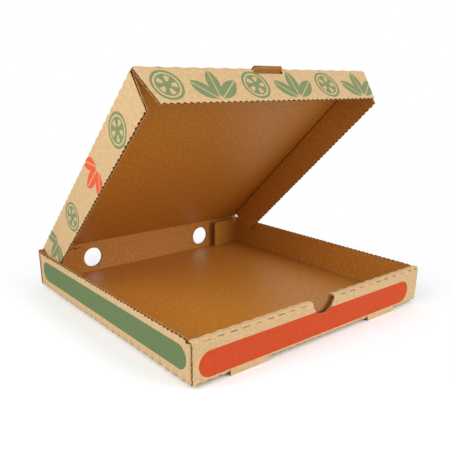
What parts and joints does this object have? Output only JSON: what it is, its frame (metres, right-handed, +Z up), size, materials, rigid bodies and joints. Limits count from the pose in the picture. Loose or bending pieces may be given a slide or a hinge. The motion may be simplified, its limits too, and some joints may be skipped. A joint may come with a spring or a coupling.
{
  "type": "pizza box",
  "caption": "Square takeaway pizza box folded from one sheet of corrugated board: open tray with rolled front wall, vented back wall and a hinged lid with tuck flaps.",
  "frame": {"origin": "centre of the tray at the surface that it stands on, level with the lips under the front wall", "axes": "+X to the right as the front is faced, +Y to the hinged back wall, +Z up"},
  "size_m": [0.33, 0.332, 0.2649],
  "materials": {
    "kraft_board": "uncoated kraft liner, matte"
  },
  "bodies": {
    "tray": {"tray": "kraft_board"},
    "lid": {"lid_panel": "kraft_board"},
    "front_flap": {"lid_front_flap": "kraft_board"},
    "left_flap": {"lid_left_flap": "kraft_board"},
    "right_flap": {"lid_right_flap": "kraft_board"}
  },
  "joints": [
    {"name": "lid_hinge", "type": "hinge", "parent": "tray", "child": "lid", "pos_m": [0, 0.1645, 0.0471], "axis": [-1, 0, 0], "range_deg": [-42.3, 137.7]},
    {"name": "front_flap_fold", "type": "hinge", "parent": "lid", "child": "front_flap", "pos_m": [0, -0.06982, 0.26031], "axis": [1, 0, 0], "range_deg": [-90, 8]},
    {"name": "right_flap_fold", "type": "hinge", "parent": "lid", "child": "right_flap", "pos_m": [0.1575, 0.16349, 0.04599], "axis": [0.0158, 0.7395, -0.6729], "range_deg": [0, 85]},
    {"name": "left_flap_fold", "type": "hinge", "parent": "lid", "child": "left_flap", "pos_m": [-0.1575, 0.16349, 0.04599], "axis": [0.0158, -0.7395, 0.6729], "range_deg": [0, 85]}
  ]
}
